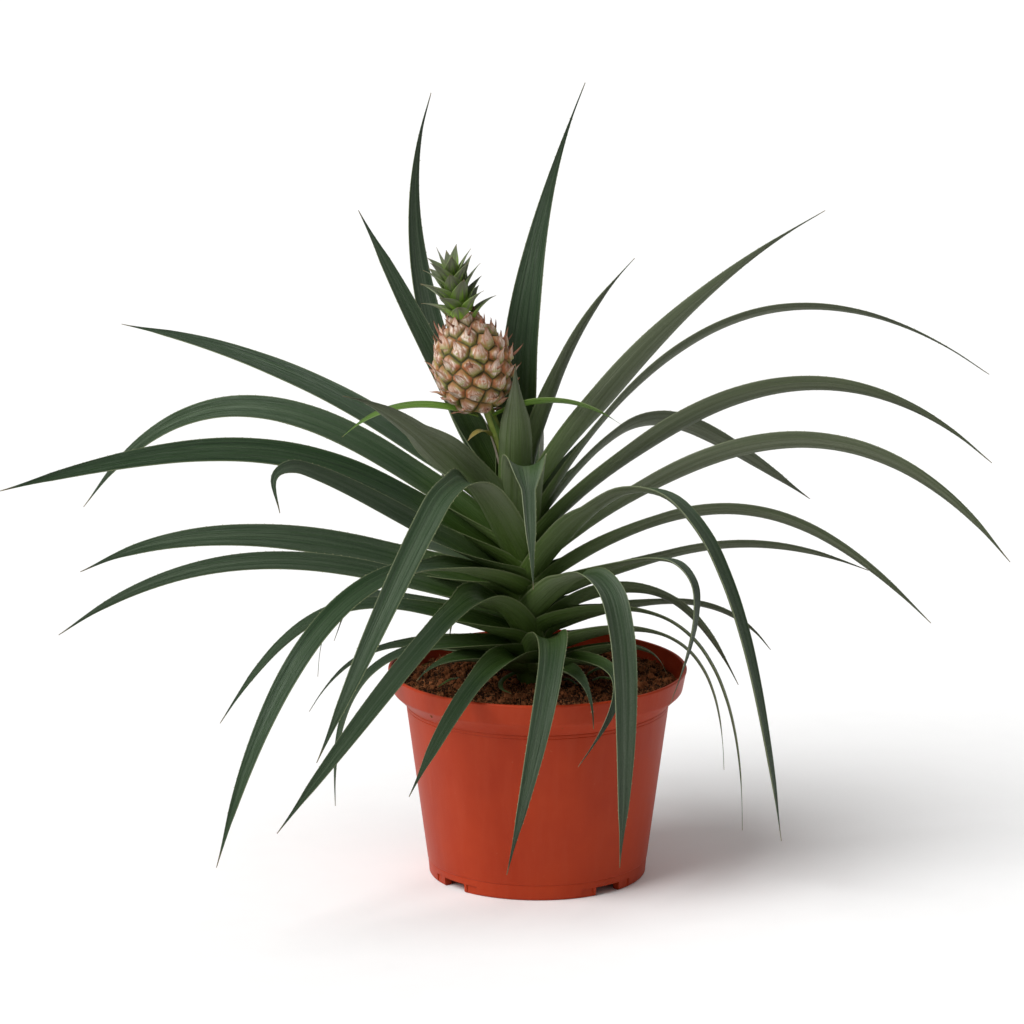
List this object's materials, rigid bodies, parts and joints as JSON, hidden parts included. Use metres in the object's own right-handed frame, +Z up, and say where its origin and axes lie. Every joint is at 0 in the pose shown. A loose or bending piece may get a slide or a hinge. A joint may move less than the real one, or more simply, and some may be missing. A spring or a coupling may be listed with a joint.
{
  "type": "potted pineapple plant",
  "caption": "Pineapple plant with arching channelled strap leaves and one small crowned fruit on a leaning stalk, rooted in potting mix in a round plastic nursery pot.",
  "frame": {"origin": "middle of the pot's underside, on the flat pad level with its foot ring", "axes": "+Z up through the pot; +X to the plant's right and +Y to its back, seen from its front"},
  "size_m": [0.5016, 0.3557, 0.3914],
  "materials": {
    "pot_plastic": "satin moulded terracotta-coloured plastic",
    "potting_mix": "loose brown coir and peat crumbs",
    "stem": "fibrous yellow-green stem",
    "leaf": "leathery green leaf with a grey bloom",
    "young_leaf": "smooth bright green leaf",
    "fruit_rind": "rough rind of papery bracts",
    "crown_leaf": "short spiny green leaves"
  },
  "bodies": {
    "root": {"pot": "pot_plastic", "potting_mix": "potting_mix", "stem": "stem", "fruit_stalk": "stem", "fruit": "fruit_rind", "crown": "crown_leaf", "stalk_leaf_left": "young_leaf", "stalk_leaf_right": "young_leaf", "stalk_bract": "young_leaf", "leaf_01": "leaf", "leaf_02": "leaf", "leaf_03": "leaf", "leaf_04": "leaf", "leaf_05": "leaf", "leaf_06": "leaf", "leaf_07": "leaf", "leaf_08": "leaf", "leaf_09": "leaf", "leaf_10": "leaf", "leaf_11": "leaf", "leaf_12": "leaf", "leaf_13": "leaf", "leaf_14": "leaf", "leaf_15": "leaf", "leaf_16": "leaf", "leaf_17": "leaf", "leaf_18": "leaf", "leaf_19": "leaf", "leaf_20": "leaf", "leaf_21": "leaf", "leaf_22": "leaf", "leaf_23": "leaf", "leaf_24": "leaf", "leaf_25": "leaf", "leaf_26": "leaf", "leaf_27": "leaf", "leaf_28": "leaf", "leaf_29": "leaf", "leaf_30": "leaf", "leaf_31": "leaf", "leaf_32": "leaf", "leaf_33": "leaf", "leaf_34": "leaf", "leaf_35": "leaf", "leaf_36": "leaf", "leaf_37": "leaf", "leaf_38": "leaf", "leaf_39": "leaf", "leaf_40": "leaf", "leaf_41": "leaf", "leaf_42": "leaf", "leaf_43": "leaf", "leaf_44": "leaf", "leaf_45": "leaf", "leaf_46": "leaf", "leaf_47": "leaf"}
  },
  "joints": []
}
